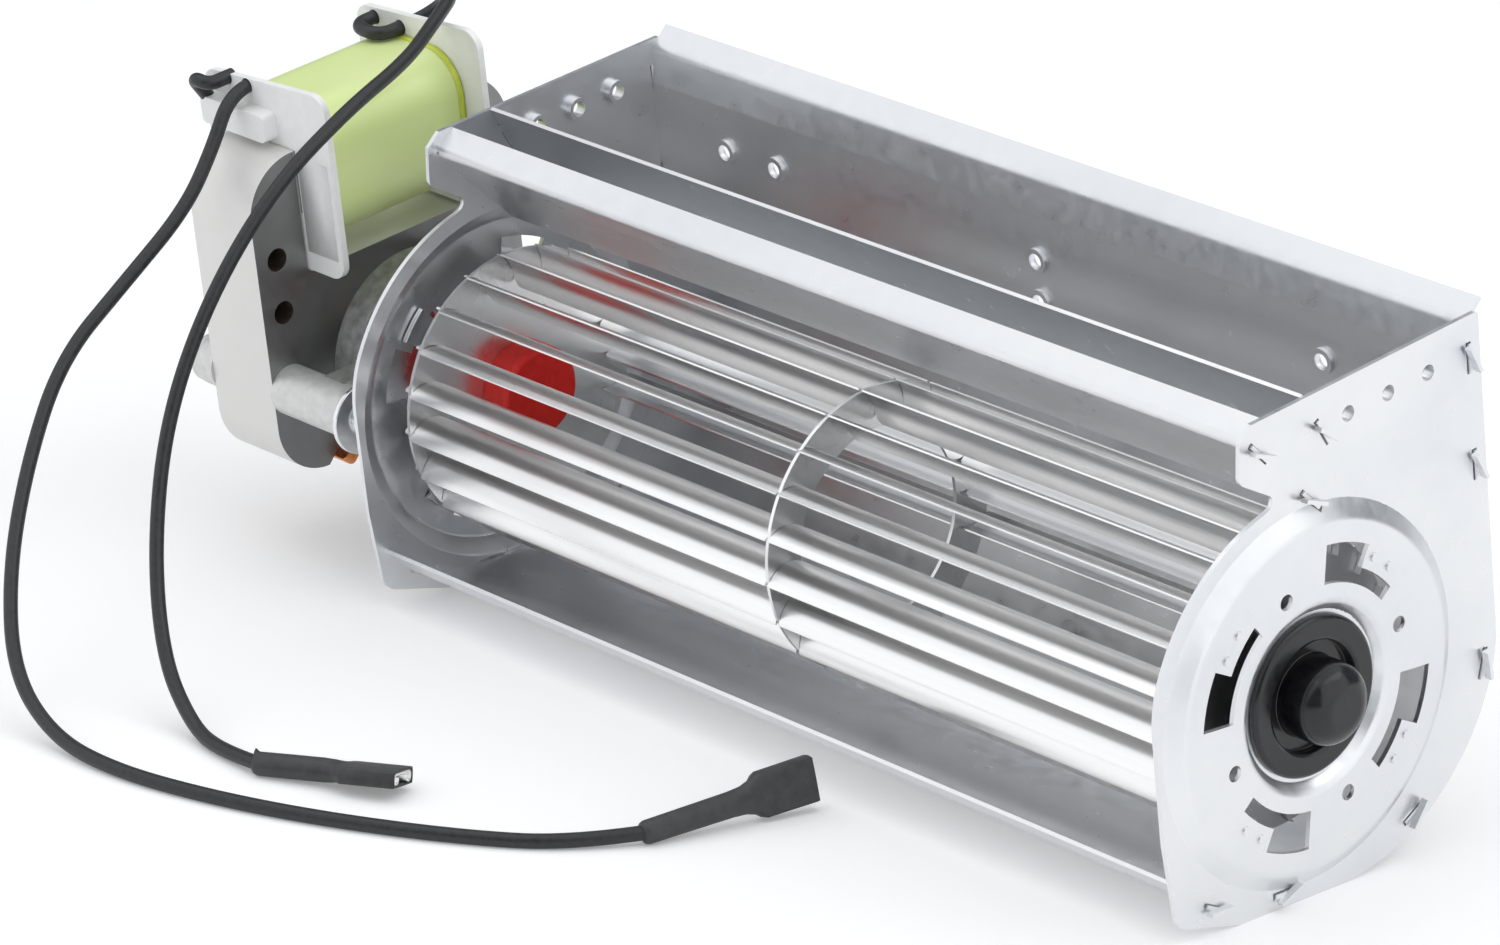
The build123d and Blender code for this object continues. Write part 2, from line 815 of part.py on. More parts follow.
coil_end = flange_face - flange_thickness
lead_holes = [
    (-1, [front_lead_hole, front_lacing_hole]),
    (1, [rear_lead_hole, rear_lacing_hole]),
]
with BuildPart() as bobbin:
    for side in (-1, 1):
        with BuildSketch(coil_plane(side * coil_end)):
            add(flange_plate)
            add(core_hole, mode=Mode.SUBTRACT)
        extrude(amount=-side * flange_thickness)
        with BuildSketch(coil_plane(side * flange_face)):
            with Locations(((block_front - block_rear) / 2,
                            stack_top + block_lift + block_height / 2 - core_middle)):
                RectangleRounded(block_front + block_rear, block_height, block_rounding)
        extrude(amount=-side * block_depth)
    with BuildSketch(coil_plane(coil_end)):
        add(core_tube)
        add(core_hole, mode=Mode.SUBTRACT)
    extrude(amount=2 * coil_end)
    for side, holes in lead_holes:
        with BuildSketch(coil_plane(side * coil_end)):
            for along_x, z in holes:
                with Locations((along_x, z - core_middle)):
                    Circle(lead_radius + lead_hole_clearance)
        extrude(amount=-side * flange_thickness, mode=Mode.SUBTRACT)

with BuildPart() as winding:
    with BuildSketch(coil_plane(coil_end - coil_clearance)):
        add(coil_outside)
        add(core_tube, mode=Mode.SUBTRACT)
    extrude(amount=2 * (coil_end - coil_clearance))

with BuildPart() as winding_tape:
    with BuildSketch(coil_plane(coil_end - coil_clearance)):
        add(tape_outside)
        add(coil_outside, mode=Mode.SUBTRACT)
    extrude(amount=2 * (coil_end - coil_clearance))

# Rotor on the motor's shaft
shaft_start = rear_hub_end + shaft_rear_gap
with BuildPart() as motor_shaft:
    with BuildSketch(section(shaft_start)):
        Circle(shaft_radius)
    extrude(amount=shaft_end - shaft_start)

with BuildSketch() as shaft_bore:
    Circle(shaft_radius + part_fit)

with BuildPart() as rotor_core:
    with BuildSketch(section(stack_front)):
        Circle(stator_bore - rotor_gap)
        add(shaft_bore, mode=Mode.SUBTRACT)
    extrude(amount=-stack_thickness)

with BuildPart() as rotor_end_rings:
    for end, side in [(stack_front, 1), (stack_rear, -1)]:
        with BuildSketch(section(end)):
            Circle(stator_bore - rotor_gap - rotor_ring_inset)
            add(shaft_bore, mode=Mode.SUBTRACT)
        extrude(amount=side * rotor_ring_thickness)

front_hub = stack_front + front_hub_start
rear_hub = stack_rear - rear_post_length + rear_bar_thickness
front_bearing = front_hub + bearing_seat
rear_bearing = rear_hub - bearing_seat

with BuildPart() as thrust_washers:
    for end, side in [(front_bearing, -1), (rear_bearing, 1)]:
        with BuildSketch(section(end + side * washer_gap)):
            Circle(washer_radius)
            add(shaft_bore, mode=Mode.SUBTRACT)
        extrude(amount=side * washer_thickness)

with BuildPart() as motor_bearings:
    for end, side in [(front_bearing, 1), (rear_bearing, -1)]:
        with BuildSketch(section(end)):
            Circle(bearing_radius)
            Circle(shaft_radius + running_clearance, mode=Mode.SUBTRACT)
        extrude(amount=side * bearing_length)
    outer_rims = motor_bearings.edges().filter_by(GeomType.CIRCLE)
    fillet(outer_rims.filter_by(lambda rim: rim.radius > bearing_radius - 0.1), bearing_rounding)

# Brackets: a bar between two posts, with a hub for the bearing
with BuildSketch() as bracket_bar:
    SlotCenterToCenter(screw_spacing, 2 * bar_half_height)
with BuildSketch() as bracket_holes:
    Circle(bearing_radius + part_fit)
    with Locations(*screw_spots):
        Circle(screw_radius + screw_clearance)

with BuildPart() as front_bracket:
    with BuildSketch(section(stack_front)):
        with Locations(*screw_spots):
            Circle(post_radius)
    extrude(amount=front_post_length)
    with BuildSketch(section(stack_front + front_bar_start)):
        add(bracket_bar)
    extrude(amount=front_bar_thickness)
    with BuildSketch(section(front_hub)):
        Circle(bracket_hub_radius)
    extrude(amount=front_hub_length)
    with BuildSketch(section(stack_front + shield_start)):
        Circle(shield_radius)
        Circle(shield_radius - shield_wall, mode=Mode.SUBTRACT)
    extrude(amount=shield_length)
    with BuildSketch(section(stack_front)):
        add(bracket_holes)
    extrude(amount=front_post_length, mode=Mode.SUBTRACT)

with BuildPart() as rear_bracket:
    with BuildSketch(section(stack_rear)):
        with Locations(*screw_spots):
            Circle(post_radius)
    extrude(amount=-rear_post_length)
    post_rims = rear_bracket.edges().filter_by(GeomType.CIRCLE).group_by(Axis.X)[0]
    fillet(post_rims, rear_post_rounding)
    with BuildSketch(section(rear_hub)):
        add(bracket_bar)
    extrude(amount=-rear_bar_thickness)
    with BuildSketch(section(rear_hub)):
        Circle(bracket_hub_radius)
    extrude(amount=-rear_hub_length)
    with BuildSketch(section(rear_hub)):
        Circle(bearing_radius + part_fit)
    extrude(amount=-(bearing_seat + bearing_length), mode=Mode.SUBTRACT)
    with BuildSketch(section(rear_hub)):
        Circle(shaft_radius + shaft_rear_gap / 2)
    extrude(amount=-rear_hub_length, mode=Mode.SUBTRACT)
    with BuildSketch(section(stack_rear)):
        with Locations(*screw_spots):
            Circle(screw_radius + screw_clearance)
    extrude(amount=-(rear_post_length - screw_end_gap), mode=Mode.SUBTRACT)

# Mounting plate, with hooks that hold in the narrow parts of the end plate's slots
mounting_start = stack_front + front_post_length
mounting_end = mounting_start + mounting_thickness
hook_end = motor_plate_face - boss_height + hook_leg + hook_gap
with BuildPart() as mounting_plate:
    with BuildSketch(section(mounting_start)):
        Circle(mounting_radius)
        SlotCenterToCenter(screw_spacing, 2 * ear_radius)
        Circle(mounting_bore, mode=Mode.SUBTRACT)
        with Locations(*screw_spots):
            Circle(screw_radius + screw_clearance, mode=Mode.SUBTRACT)
    extrude(amount=mounting_thickness)
    with BuildSketch(section(mounting_start)):
        for turn in range(slot_count):
            start = hook_start + 360 * turn / slot_count
            add(sector(hook_inner, hook_inner + hook_leg, start, hook_turn))
    extrude(amount=hook_end - mounting_start)
    with BuildSketch(section(hook_end)):
        for turn in range(slot_count):
            start = hook_start + 360 * turn / slot_count
            add(sector(hook_inner, hook_outer, start, hook_turn))
    extrude(amount=-hook_leg)

with BuildPart() as motor_screws:
    for y, z in screw_spots:
        with BuildSketch(section(mounting_end)):
            with Locations((y, z)):
                Circle(screw_head_radius)
        extrude(amount=screw_head_height)
        with BuildSketch(section(mounting_end)):
            with Locations((y, z)):
                Circle(screw_radius)
        extrude(amount=stack_rear - rear_post_length + screw_end_gap + screw_clearance - mounting_end)


# Leads
stack_middle = stack_front - stack_thickness / 2


def place(x, y, z):
    """A point given in the fan's own x, y and z."""
    return section(x).from_local_coords((y, z, 0))


def hole_place(hole, y):
    """A point on the line through a hole of the bobbin."""
    return place(stack_middle + hole[0], y, hole[1])


def lead_tube(points, name):
    """Round lead along straight runs, joined by arcs as large as the runs allow."""
    bends = []
    for before, corner, after in zip(points, points[1:], points[2:]):
        run = min((corner - before).length, (after - corner).length)
        turn = (corner - before).get_angle(after - corner)
        bends.append(lead_bend_share * run / tan(radians(turn / 2)))
    with BuildPart() as tube:
        with BuildLine() as route:
            FilletPolyline(*points, radius=bends)
        with BuildSketch(Plane(origin=route.line @ 0, z_dir=route.line % 0)):
            Circle(lead_radius)
        sweep()
    length = route.wire().length
    share = tube.part.volume / (length * pi * lead_radius**2)
    print(name, "length", round(length, 1), "volume share", round(share, 4))
    print("  bend radii", [round(bend, 1) for bend in bends])
    return tube.part


front_lead_points = [
    hole_place(front_lead_hole, -coil_end),
    hole_place(front_lead_hole, -coil_end - front_lead_reach),
    *[place(*point) for point in front_lead_bend],
    *[Vector(*point) for point in front_lead_route],
]
rear_lead_points = [
    hole_place(rear_lead_hole, flange_face),
    hole_place(rear_lead_hole, flange_face + rear_lead_reach),
    *[place(*point) for point in rear_lead_bend],
    *[Vector(*point) for point in rear_lead_route],
]
front_lacing_points = [
    hole_place(front_lacing_hole, -coil_end),
    hole_place(front_lacing_hole, -coil_end - front_lacing_reach),
    *[place(*point) for point in front_lacing_route],
]
rear_lacing_points = [
    hole_place(rear_lacing_hole, flange_face),
    hole_place(rear_lacing_hole, coil_end - rear_lacing_reach),
    hole_place(rear_lead_hole, coil_end - rear_lacing_reach),
    hole_place(rear_lead_hole, flange_face),
]

with BuildPart() as front_lead:
    add(lead_tube(front_lead_points, "front lead"))

with BuildPart() as rear_lead:
    add(lead_tube(rear_lead_points, "rear lead"))

with BuildPart() as front_lacing:
    add(lead_tube(front_lacing_points, "front lacing"))
    add(bobbin.part, mode=Mode.SUBTRACT)

with BuildPart() as rear_lacing:
    add(lead_tube(rear_lacing_points, "rear lacing"))


def sleeve_plane(points, way, distance):
    """Plane across a sleeve at a distance past the lead's end."""
    turn, rise, roll = [radians(angle) for angle in way]
    ahead = Vector(cos(turn) * cos(rise), sin(turn) * cos(rise), sin(rise))
    level = Vector(sin(turn), -cos(turn), 0)
    across = level * cos(roll) + ahead.cross(level) * sin(roll)
    return Plane(origin=points[-1] + ahead * distance, x_dir=across, z_dir=ahead)


with BuildSketch() as shell_face:
    RectangleRounded(shell_width, shell_height, shell_rounding)
with BuildSketch() as shell_room:
    RectangleRounded(shell_width - 2 * shell_wall, shell_height - 2 * shell_wall,
                     shell_rounding - shell_wall)
with BuildSketch() as terminal_face:
    add(shell_room)
    offset(amount=-terminal_clearance)
with BuildSketch() as terminal_room:
    add(terminal_face)
    offset(amount=-terminal_wall)
    with Locations((0, shell_height / 2)):
        Rectangle(terminal_gap, shell_height)


def shrink_sleeve(points, way, taper):
    """Sleeve that tapers from the round lead to a flat shell around the terminal."""
    with BuildPart() as sleeve:
        with BuildSketch(Plane(origin=points[-1], z_dir=points[-1] - points[-2])):
            Circle(sleeve_radius)
        with BuildSketch(sleeve_plane(points, way, taper)):
            add(shell_face)
        loft()
        with BuildSketch(sleeve_plane(points, way, taper)):
            add(shell_face)
        extrude(amount=shell_length)
        with BuildSketch(sleeve_plane(points, way, taper + shell_length)):
            add(shell_room)
        extrude(amount=-terminal_length, mode=Mode.SUBTRACT)
    return sleeve.part


def terminal(points, way, taper):
    """Receptacle with rolled edges, open at its end."""
    with BuildPart() as receptacle:
        with BuildSketch(sleeve_plane(points, way, taper + shell_length)):
            add(terminal_face)
            add(terminal_room, mode=Mode.SUBTRACT)
        extrude(amount=-terminal_length)
    return receptacle.part


with BuildPart() as front_lead_sleeve:
    add(shrink_sleeve(front_lead_points, front_sleeve_way, front_sleeve_taper))

with BuildPart() as rear_lead_sleeve:
    add(shrink_sleeve(rear_lead_points, rear_sleeve_way, rear_sleeve_taper))

with BuildPart() as front_terminal:
    add(terminal(front_lead_points, front_sleeve_way, front_sleeve_taper))

with BuildPart() as rear_terminal:
    add(terminal(rear_lead_points, rear_sleeve_way, rear_sleeve_taper))

# Pieces
bearing_end_plate.part.label = "bearing_end_plate"
export_step(bearing_end_plate.part, "parts/bearing_end_plate.step")
motor_end_plate.part.label = "motor_end_plate"
export_step(motor_end_plate.part, "parts/motor_end_plate.step")
scroll.part.label = "scroll"
export_step(scroll.part, "parts/scroll.step")
tongue.part.label = "tongue"
export_step(tongue.part, "parts/tongue.step")
rubber_mount.part.label = "rubber_mount"
export_step(rubber_mount.part, "parts/rubber_mount.step")
bearing_bush.part.label = "bearing_bush"
export_step(bearing_bush.part, "parts/bearing_bush.step")
wheel_disc_motor_side.part.label = "wheel_disc_motor_side"
export_step(wheel_disc_motor_side.part, "parts/wheel_disc_motor_side.step")
wheel_middle_ring.part.label = "wheel_middle_ring"
export_step(wheel_middle_ring.part, "parts/wheel_middle_ring.step")
wheel_disc_bearing_side.part.label = "wheel_disc_bearing_side"
export_step(wheel_disc_bearing_side.part, "parts/wheel_disc_bearing_side.step")
blades_motor_side.part.label = "blades_motor_side"
export_step(blades_motor_side.part, "parts/blades_motor_side.step")
blades_bearing_side.part.label = "blades_bearing_side"
export_step(blades_bearing_side.part, "parts/blades_bearing_side.step")
stub_shaft.part.label = "stub_shaft"
export_step(stub_shaft.part, "parts/stub_shaft.step")
shaft_hub.part.label = "shaft_hub"
export_step(shaft_hub.part, "parts/shaft_hub.step")
motor_shaft.part.label = "motor_shaft"
export_step(motor_shaft.part, "parts/motor_shaft.step")
rotor_core.part.label = "rotor_core"
export_step(rotor_core.part, "parts/rotor_core.step")
rotor_end_rings.part.label = "rotor_end_rings"
export_step(rotor_end_rings.part, "parts/rotor_end_rings.step")
thrust_washers.part.label = "thrust_washers"
export_step(thrust_washers.part, "parts/thrust_washers.step")
stator_frame.part.label = "stator_frame"
export_step(stator_frame.part, "parts/stator_frame.step")
stator_core.part.label = "stator_core"
export_step(stator_core.part, "parts/stator_core.step")
shading_rings.part.label = "shading_rings"
export_step(shading_rings.part, "parts/shading_rings.step")
bobbin.part.label = "bobbin"
export_step(bobbin.part, "parts/bobbin.step")
winding.part.label = "winding"
export_step(winding.part, "parts/winding.step")
winding_tape.part.label = "winding_tape"
export_step(winding_tape.part, "parts/winding_tape.step")
motor_bearings.part.label = "motor_bearings"
export_step(motor_bearings.part, "parts/motor_bearings.step")
front_bracket.part.label = "front_bracket"
export_step(front_bracket.part, "parts/front_bracket.step")
rear_bracket.part.label = "rear_bracket"
export_step(rear_bracket.part, "parts/rear_bracket.step")
mounting_plate.part.label = "mounting_plate"
export_step(mounting_plate.part, "parts/mounting_plate.step")
motor_screws.part.label = "motor_screws"
export_step(motor_screws.part, "parts/motor_screws.step")
front_lacing.part.label = "front_lacing"
export_step(front_lacing.part, "parts/front_lacing.step")
rear_lacing.part.label = "rear_lacing"
export_step(rear_lacing.part, "parts/rear_lacing.step")
front_lead.part.label = "front_lead"
export_step(front_lead.part, "parts/front_lead.step")
rear_lead.part.label = "rear_lead"
export_step(rear_lead.part, "parts/rear_lead.step")
front_lead_sleeve.part.label = "front_lead_sleeve"
export_step(front_lead_sleeve.part, "parts/front_lead_sleeve.step")
rear_lead_sleeve.part.label = "rear_lead_sleeve"
export_step(rear_lead_sleeve.part, "parts/rear_lead_sleeve.step")
front_terminal.part.label = "front_terminal"
export_step(front_terminal.part, "parts/front_terminal.step")
rear_terminal.part.label = "rear_terminal"
export_step(rear_terminal.part, "parts/rear_terminal.step")
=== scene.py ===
import bpy
import bmesh
import json
from math import cos, pi, radians, sin
from mathutils import Matrix, Vector


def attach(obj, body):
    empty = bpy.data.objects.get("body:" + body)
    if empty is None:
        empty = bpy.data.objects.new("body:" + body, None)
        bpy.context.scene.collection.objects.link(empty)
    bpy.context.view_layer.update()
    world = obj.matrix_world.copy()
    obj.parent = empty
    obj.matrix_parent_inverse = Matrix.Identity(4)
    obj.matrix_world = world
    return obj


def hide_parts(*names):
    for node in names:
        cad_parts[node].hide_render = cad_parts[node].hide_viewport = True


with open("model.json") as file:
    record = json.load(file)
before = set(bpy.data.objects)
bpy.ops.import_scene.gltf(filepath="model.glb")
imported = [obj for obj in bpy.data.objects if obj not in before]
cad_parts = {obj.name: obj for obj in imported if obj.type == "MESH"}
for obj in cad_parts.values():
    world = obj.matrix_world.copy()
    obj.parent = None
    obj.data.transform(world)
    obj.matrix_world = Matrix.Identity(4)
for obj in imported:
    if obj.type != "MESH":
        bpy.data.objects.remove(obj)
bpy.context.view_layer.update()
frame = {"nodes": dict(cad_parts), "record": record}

# Camera: a long lens from the bearing end, high and in front, as the fan was photographed.
# It turns on its own axis by less than a degree.
camera = bpy.data.objects.new("camera", bpy.data.cameras.new("camera"))
bpy.context.collection.objects.link(camera)
camera.data.sensor_width = 36.0
camera.data.lens = 180.386
camera.data.clip_end = 20.0
camera_place = Vector((1.03349, -0.94905, 0.58428))
camera_aim = Vector((0.00141, -0.01634, 0.04865))
camera_roll = radians(0.245)
look = (camera_aim - camera_place).to_track_quat("-Z", "Y").to_matrix().to_4x4()
camera.matrix_world = Matrix.Translation(camera_place) @ look @ Matrix.Rotation(-camera_roll, 4, "Z")
bpy.context.scene.camera = camera


# Shrink sleeves: black polyolefin, cut from a tube and shrunk over the end of each lead and
# its terminal. They are round over the lead and flat over the terminal, and left open.
def new_material(name, colour, metallic, roughness):
    """A material with its shader."""
    made = bpy.data.materials.new(name)
    made.use_nodes = True
    shader = made.node_tree.nodes["Principled BSDF"]
    shader.inputs["Base Color"].default_value = (*colour, 1.0)
    shader.inputs["Metallic"].default_value = metallic
    shader.inputs["Roughness"].default_value = roughness
    return made, shader


def node(material, kind, **values):
    """A node of a material, with its sockets' values by name."""
    made = material.node_tree.nodes.new(kind)
    for name, value in values.items():
        if name in made.inputs.keys():
            made.inputs[name].default_value = value
        else:
            setattr(made, name, value)
    return made


def grain(material, scale, stretch=(1.0, 1.0, 1.0), detail=4.0):
    """Noise on the piece's own coordinates, finer along the axes that are stretched."""
    tree = material.node_tree
    place = tree.nodes.new("ShaderNodeTexCoord")
    mapping = tree.nodes.new("ShaderNodeMapping")
    mapping.inputs["Scale"].default_value = stretch
    noise = node(material, "ShaderNodeTexNoise", Scale=scale, Detail=detail)
    tree.links.new(place.outputs["Object"], mapping.inputs["Vector"])
    tree.links.new(mapping.outputs["Vector"], noise.inputs["Vector"])
    return noise.outputs["Fac"]


noise_low = 0.3
noise_high = 0.7


def vary(material, value, low, high, socket):
    """Drives a shader's number between low and high by a noise."""
    span = node(material, "ShaderNodeMapRange")
    span.inputs["From Min"].default_value = noise_low
    span.inputs["From Max"].default_value = noise_high
    span.inputs["To Min"].default_value = low
    span.inputs["To Max"].default_value = high
    material.node_tree.links.new(value, span.inputs["Value"])
    material.node_tree.links.new(span.outputs["Result"], socket)


def tint(material, value, dark, light, socket):
    """Colours a shader between dark and light by a noise."""
    ramp = material.node_tree.nodes.new("ShaderNodeValToRGB")
    ramp.color_ramp.elements[0].position = noise_low
    ramp.color_ramp.elements[1].position = noise_high
    ramp.color_ramp.elements[0].color = (*dark, 1.0)
    ramp.color_ramp.elements[1].color = (*light, 1.0)
    material.node_tree.links.new(value, ramp.inputs["Fac"])
    material.node_tree.links.new(ramp.outputs["Color"], socket)


def relief(material, value, height, strength, shader):
    """Bumps a surface by a value, height in metres."""
    bump = node(material, "ShaderNodeBump", Strength=strength, Distance=height)
    material.node_tree.links.new(value, bump.inputs["Height"])
    material.node_tree.links.new(bump.outputs["Normal"], shader.inputs["Normal"])


weld_distance = 1e-6


def new_piece(name, shape, material, body, replaced=None):
    """A finished bmesh as a smooth piece that rides on a body."""
    bmesh.ops.remove_doubles(shape, verts=shape.verts, dist=weld_distance)
    bmesh.ops.recalc_face_normals(shape, faces=shape.faces)
    mesh = bpy.data.meshes.new(name)
    shape.to_mesh(mesh)
    shape.free()
    for face in mesh.polygons:
        face.use_smooth = True
    mesh.materials.append(material)
    piece = bpy.data.objects.new(name, mesh)
    bpy.context.collection.objects.link(piece)
    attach(piece, body)
    if replaced:
        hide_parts(replaced)
    return piece


def new_parts(geometry, kind):
    """The vertices or the edges that an operator has made."""
    return [item for item in geometry if isinstance(item, kind)]


def round_edges(piece, width, turn=28.0, segments=2):
    """Rounds a piece's sharp edges by a width in metres and keeps its flats flat."""
    rounding = piece.modifiers.new("edges", "BEVEL")
    rounding.width = width
    rounding.segments = segments
    rounding.limit_method = "ANGLE"
    rounding.angle_limit = radians(turn)
    rounding.use_clamp_overlap = True
    shading = piece.modifiers.new("shading", "WEIGHTED_NORMAL")
    shading.keep_sharp = True


black_shrink, shader = new_material("black_shrink_sleeve", (0.03, 0.03, 0.03), 0.0, 0.5)
ripple = grain(black_shrink, 420.0, (1.0, 1.0, 1.0), 3.0)
vary(black_shrink, ripple, 0.42, 0.6, shader.inputs["Roughness"])
tint(black_shrink, ripple, (0.038, 0.038, 0.039), (0.062, 0.062, 0.064), shader.inputs["Base Color"])
relief(black_shrink, ripple, 0.00015, 0.6, shader)
shell_half_width = 4.65
shell_half_height = 1.72
sleeve_wall = 0.35
shell_length = 12.4
terminal_length = 9.0
tip_sharpness = 12


def shrink_sleeve(name, start, across, ahead, taper, tip_rise):
    """A sleeve from the lead's end: round, then waisted out to a flat shell that is open.

    Each ring is a distance along it, half a width, half a height and how square it is.
    """
    mouth = taper + shell_length
    inner_width = shell_half_width - sleeve_wall
    inner_height = shell_half_height - sleeve_wall
    rings = [
        (-0.9, 1.45, 1.45, 0.0), (-0.7, 2.1, 2.1, 0.0), (0.0, 2.4, 2.4, 0.0),
        (0.4 * taper, 2.5, 2.45, 0.0), (0.76 * taper, 2.6, 2.45, 0.0), (0.88 * taper, 2.85, 2.3, 0.1),
        (0.96 * taper, 3.5, 2.05, 0.35), (1.0 * taper, 4.3, 1.9, 0.65),
        (1.04 * taper, shell_half_width, 1.78, 0.82),
        (mouth - 0.4, shell_half_width, shell_half_height, 0.88),
        (mouth, shell_half_width - 0.08, shell_half_height - 0.08, 0.88),
        (mouth, inner_width, inner_height, 0.88),
        (mouth - terminal_length, inner_width, inner_height, 0.88),
    ]
    upright = across.cross(ahead)
    shape = bmesh.new()
    bmesh.ops.create_circle(shape, segments=40, radius=1.0)
    edges = shape.edges[:]
    bmesh.ops.contextual_create(shape, geom=edges)
    for _ in rings[1:]:
        grown = bmesh.ops.extrude_edge_only(shape, edges=edges)["geom"]
        edges = new_parts(grown, bmesh.types.BMEdge)
        bmesh.ops.translate(shape, vec=(0, 0, 1), verts=new_parts(grown, bmesh.types.BMVert))
    bmesh.ops.contextual_create(shape, geom=edges)
    for vert in shape.verts:
        distance, half_width, half_height, squareness = rings[round(vert.co.z)]
        longest = max(abs(vert.co.x), abs(vert.co.y)) ** squareness
        spot = across * (vert.co.x * half_width / longest)
        spot = spot + upright * (vert.co.y * half_height / longest)
        if distance < 0:
            spot = spot * (1 + tip_rise * max(0.0, vert.co.y) ** tip_sharpness)
        vert.co = (start + ahead * distance + spot) / 1000
    return new_piece(name, shape, black_shrink, "housing",
                     name.replace("_shrunk", ""))


front_start = Vector((41.0, -79.3, 2.4))
front_across = Vector((0.1956, 0.0628, -0.9787)).normalized()
front_ahead = Vector((0.2488, 0.9621, 0.1115)).normalized()
front_taper = 24.0
rear_start = Vector((-35.5, -113.0, 2.4))
rear_across = Vector((0.4292, -0.8703, 0.2416)).normalized()
rear_ahead = Vector((0.8898, 0.4534, 0.0523)).normalized()
rear_taper = 18.5
front_sleeve = shrink_sleeve("front_lead_sleeve_shrunk", front_start, front_across, front_ahead,
                             front_taper, 0.1)
rear_sleeve = shrink_sleeve("rear_lead_sleeve_shrunk", rear_start, rear_across, rear_ahead,
                            rear_taper, 0.45)

# Terminals: push-on receptacles of tinned brass strip, flat on top, with both edges rolled
# in underneath so that they spring on a blade.
tinned, shader = new_material("tinned_brass", (0.88, 0.87, 0.85), 0.9, 0.4)
tin_grain = grain(tinned, 1500.0)
vary(tinned, tin_grain, 0.34, 0.46, shader.inputs["Roughness"])
tint(tinned, tin_grain, (0.83, 0.82, 0.80), (0.92, 0.91, 0.90), shader.inputs["Base Color"])
strip_thickness = 0.5
strip_half_width = 3.0
roll_radius = 0.98
roll_turn = 285.0
roll_steps = 14
mouth_gap = 0.15
back_gap = 0.3


def receptacle(name, start, across, ahead, mouth):
    """A strip with rolled edges, its open end a little inside the sleeve's mouth."""
    upright = across.cross(ahead)
    shape = bmesh.new()
    middle = bmesh.ops.create_vert(shape, co=(0.0, 0.0, roll_radius))["vert"]
    bmesh.ops.extrude_vert_indiv(shape, verts=middle)
    shape.verts.ensure_lookup_table()
    edge = shape.verts[-1]
    edge.co.x = strip_half_width
    bmesh.ops.spin(shape, geom=[edge], cent=(strip_half_width, 0, 0), axis=(0, 1, 0), dvec=(0, 0, 0),
                   angle=radians(roll_turn), steps=roll_steps, use_merge=False, use_duplicate=False)
    bmesh.ops.mirror(shape, geom=shape.verts[:] + shape.edges[:], matrix=Matrix.Identity(4),
                     merge_dist=1e-4, axis="X")
    grown = bmesh.ops.extrude_edge_only(shape, edges=shape.edges[:])["geom"]
    bmesh.ops.translate(shape, vec=(0, -terminal_length + back_gap, 0),
                        verts=new_parts(grown, bmesh.types.BMVert))
    for vert in shape.verts:
        place = across * vert.co.x + upright * vert.co.z + ahead * (mouth - mouth_gap + vert.co.y)
        vert.co = (start + place) / 1000
    piece = new_piece(name, shape, tinned, "housing", name.replace("_rolled", ""))
    strip = piece.modifiers.new("strip", "SOLIDIFY")
    strip.thickness = strip_thickness / 1000
    strip.offset = 0.0
    return piece


front_terminal = receptacle("front_terminal_rolled", front_start, front_across, front_ahead,
                            front_taper + shell_length)
rear_terminal = receptacle("rear_terminal_rolled", rear_start, rear_across, rear_ahead,
                           rear_taper + shell_length)

# Supply leads: PVC-covered copper, soft enough to lie as they fall. Each leaves its hole in
# the coil's bobbin, drops to the floor and ends in its terminal.
black_insulation, shader = new_material("black_insulation", (0.02, 0.02, 0.021), 0.0, 0.42)
insulation_grain = grain(black_insulation, 900.0)
vary(black_insulation, insulation_grain, 0.34, 0.48, shader.inputs["Roughness"])
tint(black_insulation, insulation_grain, (0.015, 0.015, 0.016), (0.028, 0.028, 0.030),
     shader.inputs["Base Color"])
relief(black_insulation, insulation_grain, 0.00003, 0.4, shader)

lead_diameter = 0.003
front_lead_route = [
    (-132.95, -33.14, 101.32), (-132.95, -39.09, 100.59), (-130.75, -45.90, 90.39),
    (-127.9, -55.7, 80.2), (-127.4, -71.9, 68.7), (-126.2, -90.0, 56.5),
    (-118.4, -105.2, 39.9), (-107.2, -119.0, 23.8), (-91.7, -130.4, 9.6),
    (-73.8, -134.4, 2.3), (-53.8, -134.6, 1.5), (-30.5, -128.9, 1.5),
    (-6.8, -119.2, 1.5), (17.5, -105.3, 1.5), (33.5, -92.2, 1.5), (41.0, -79.3, 2.4),
]
rear_lead_route = [
    (-133.05, 8.23, 104.99), (-133.05, 14.97, 105.82), (-122.55, 13.19, 113.76),
    (-114.9, -0.1, 110.4), (-105.9, -14.3, 108.3), (-99.9, -34.9, 103.9),
    (-98.2, -55.8, 92.5), (-97.3, -73.7, 73.8), (-94.7, -87.5, 52.0),
    (-87.0, -97.7, 29.4), (-74.2, -106.2, 11.1), (-59.4, -110.8, 2.4),
    (-47.5, -113.2, 1.5), (-35.5, -113.0, 2.4),
]


def lead(name, route):
    """A round lead along a route in millimetres, from its hole to its terminal."""
    points = [Vector(point) / 1000 for point in route]
    curve = bpy.data.curves.new(name, "CURVE")
    curve.dimensions = "3D"
    curve.bevel_depth = lead_diameter / 2
    curve.bevel_resolution = 6
    curve.use_fill_caps = True
    spline = curve.splines.new("NURBS")
    spline.points.add(len(points) - 1)
    for spot, point in zip(spline.points, points):
        spot.co = (*point, 1.0)
    spline.order_u = 3
    spline.use_endpoint_u = True
    spline.resolution_u = 16
    piece = bpy.data.objects.new(name, curve)
    bpy.context.collection.objects.link(piece)
    curve.materials.append(black_insulation)
    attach(piece, "housing")
    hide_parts(name.replace("_insulated", ""))


def paint(name, material):
    """Gives a node that keeps its own shape a better material."""
    mesh = frame["nodes"][name].data
    mesh.materials.clear()
    mesh.materials.append(material)


